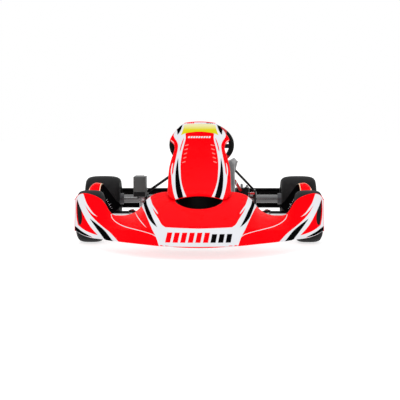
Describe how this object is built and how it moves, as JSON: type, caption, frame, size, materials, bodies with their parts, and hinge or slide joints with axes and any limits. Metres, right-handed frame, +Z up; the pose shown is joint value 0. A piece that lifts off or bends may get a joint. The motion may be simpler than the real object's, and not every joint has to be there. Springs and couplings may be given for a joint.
{
  "type": "racing kart rolling chassis",
  "caption": "Racing kart rolling chassis with nose, front panel, side pods, steering, brake, seat and wheels, without its engine.",
  "frame": {"origin": "on the ground, in the middle of the overall box", "axes": "+Z up, -Y towards the front of the kart, +X towards the driver's left"},
  "size_m": [1.4, 2.013, 0.606],
  "materials": {
    "frame_paint": "gloss powder coat",
    "black_paint": "satin powder coat",
    "red_bodywork": "gloss plastic with red, white and black striping",
    "black_plastic": "blow-moulded, satin",
    "guard_plastic": "moulded, satin",
    "tank_plastic": "translucent natural",
    "seat_shell": "glass fibre, gel coat",
    "steel": "zinc plated",
    "aluminium": "machined",
    "anodised_red": "red anodised",
    "disc_iron": "ground faces",
    "magnesium": "satin graphite",
    "grip_suede": "suede with red sections",
    "tyre_rubber": "slick, matt",
    "hose_rubber": "satin",
    "pad_lining": "sintered lining"
  },
  "bodies": {
    "chassis": {"frame_rail_left": "frame_paint", "frame_rail_right": "frame_paint", "frame_front_loop": "frame_paint", "frame_cross_tubes": "frame_paint", "kingpin_yokes": "black_paint", "bearing_hangers": "black_paint", "steering_support": "frame_paint", "floor_tray": "aluminium", "front_bumper_lower": "black_paint", "front_bumper_upper": "black_paint", "nose_clamps": "black_plastic", "nose_fairing": "red_bodywork", "front_panel": "red_bodywork", "panel_bracket": "black_paint", "side_pod_left": "red_bodywork", "side_pod_right": "red_bodywork", "side_bars": "black_paint", "rear_bumper": "black_plastic", "rear_bumper_brackets": "black_paint", "seat_shell": "seat_shell", "seat_stays": "black_paint", "seat_bolts": "steel", "fuel_tank": "tank_plastic", "kingpin_bolts": "steel", "caster_pills": "anodised_red", "axle_bearings": "steel", "chain_guard": "guard_plastic", "brake_caliper": "black_paint", "caliper_bracket": "frame_paint", "master_cylinder": "black_paint", "brake_hose": "hose_rubber", "steering_bearing": "black_plastic", "steering_lower_joint": "steel"},
    "steering": {"steering_column": "steel", "steering_hub": "aluminium", "steering_spokes": "black_paint", "steering_grip": "grip_suede"},
    "stub_left": {"stub_axle_left": "steel"},
    "stub_right": {"stub_axle_right": "steel"},
    "rod_left": {"tie_rod_left": "aluminium"},
    "rod_right": {"tie_rod_right": "aluminium"},
    "wheel_left": {"front_hub_left": "aluminium", "front_rim_left": "magnesium", "front_tyre_left": "tyre_rubber"},
    "wheel_right": {"front_hub_right": "aluminium", "front_rim_right": "magnesium", "front_tyre_right": "tyre_rubber"},
    "rear_axle_set": {"rear_axle": "steel", "rear_hubs": "magnesium", "rear_rims": "magnesium", "rear_tyres": "tyre_rubber", "brake_disc": "disc_iron", "sprocket": "aluminium"},
    "throttle": {"throttle_pedal": "aluminium"},
    "brake": {"brake_pedal": "aluminium"},
    "brake_link": {"brake_rod": "steel"},
    "lever": {"master_lever": "aluminium"},
    "pad_in": {"pad_inner": "pad_lining"},
    "pad_out": {"pad_outer": "pad_lining"},
    "cap": {"fuel_cap": "black_plastic"}
  },
  "joints": [
    {"name": "steering_turn", "type": "hinge", "parent": "chassis", "child": "steering", "pos_m": [0.009, -0.017, 0.479], "axis": [0, 0.7071, 0.7071], "range_deg": [-40, 40]},
    {"name": "stub_left_turn", "type": "hinge", "parent": "chassis", "child": "stub_left", "pos_m": [0.342, -0.345, 0.127], "axis": [-0.1386, 0.0872, 0.9865], "range_deg": [-21, 21]},
    {"name": "rod_left_turn", "type": "hinge", "parent": "stub_left", "child": "rod_left", "pos_m": [0.342, -0.25, 0.14], "axis": [-0.1386, 0.0872, 0.9865], "range_deg": [-21, 21]},
    {"name": "wheel_left_spin", "type": "hinge", "parent": "stub_left", "child": "wheel_left", "pos_m": [0.546, -0.345, 0.131], "axis": [1, 0, 0], "continuous": true},
    {"name": "stub_right_turn", "type": "hinge", "parent": "chassis", "child": "stub_right", "pos_m": [-0.342, -0.345, 0.127], "axis": [0.1386, 0.0872, 0.9865], "range_deg": [-21, 21]},
    {"name": "rod_right_turn", "type": "hinge", "parent": "stub_right", "child": "rod_right", "pos_m": [-0.342, -0.25, 0.14], "axis": [0.1386, 0.0872, 0.9865], "range_deg": [-21, 21]},
    {"name": "wheel_right_spin", "type": "hinge", "parent": "stub_right", "child": "wheel_right", "pos_m": [-0.546, -0.345, 0.131], "axis": [1, 0, 0], "continuous": true},
    {"name": "rear_axle_spin", "type": "hinge", "parent": "chassis", "child": "rear_axle_set", "pos_m": [0, 0.705, 0.1395], "axis": [1, 0, 0], "continuous": true},
    {"name": "throttle_press", "type": "hinge", "parent": "chassis", "child": "throttle", "pos_m": [-0.214, -0.52, 0.064], "axis": [1, 0, 0], "range_deg": [0, 25], "stiffness_Nm_per_rad": 2, "springref_deg": -20.05},
    {"name": "brake_press", "type": "hinge", "parent": "chassis", "child": "brake", "pos_m": [0.21, -0.52, 0.064], "axis": [1, 0, 0], "range_deg": [0, 12], "stiffness_Nm_per_rad": 6, "springref_deg": -11.46},
    {"name": "brake_link_turn", "type": "hinge", "parent": "brake", "child": "brake_link", "pos_m": [0.232, -0.52, 0.104], "axis": [1, 0, 0], "range_deg": [-12, 12]},
    {"name": "lever_turn", "type": "hinge", "parent": "chassis", "child": "lever", "pos_m": [0.238, -0.135, 0.064], "axis": [1, 0, 0], "range_deg": [-12, 12]},
    {"name": "pad_in_slide", "type": "slide", "parent": "chassis", "child": "pad_in", "axis": [1, 0, 0], "range_m": [0, 0.0011]},
    {"name": "pad_out_slide", "type": "slide", "parent": "chassis", "child": "pad_out", "axis": [-1, 0, 0], "range_m": [0, 0.0011]},
    {"name": "cap_turn", "type": "hinge", "parent": "chassis", "child": "cap", "pos_m": [0.062, -0.096, 0.2234], "axis": [0, 0, 1], "range_deg": [0, 330]}
  ],
  "couplings": [
    {"joint": "stub_left_turn", "follows": "steering_turn", "ratio": 0.52},
    {"joint": "stub_right_turn", "follows": "steering_turn", "ratio": 0.52},
    {"joint": "rod_left_turn", "follows": "steering_turn", "ratio": -0.52},
    {"joint": "rod_right_turn", "follows": "steering_turn", "ratio": -0.52},
    {"joint": "brake_link_turn", "follows": "brake_press", "ratio": -1},
    {"joint": "lever_turn", "follows": "brake_press", "ratio": 1},
    {"joint": "pad_in_slide", "follows": "brake_press", "m_per_rad": 0.00525},
    {"joint": "pad_out_slide", "follows": "brake_press", "m_per_rad": 0.00525}
  ]
}
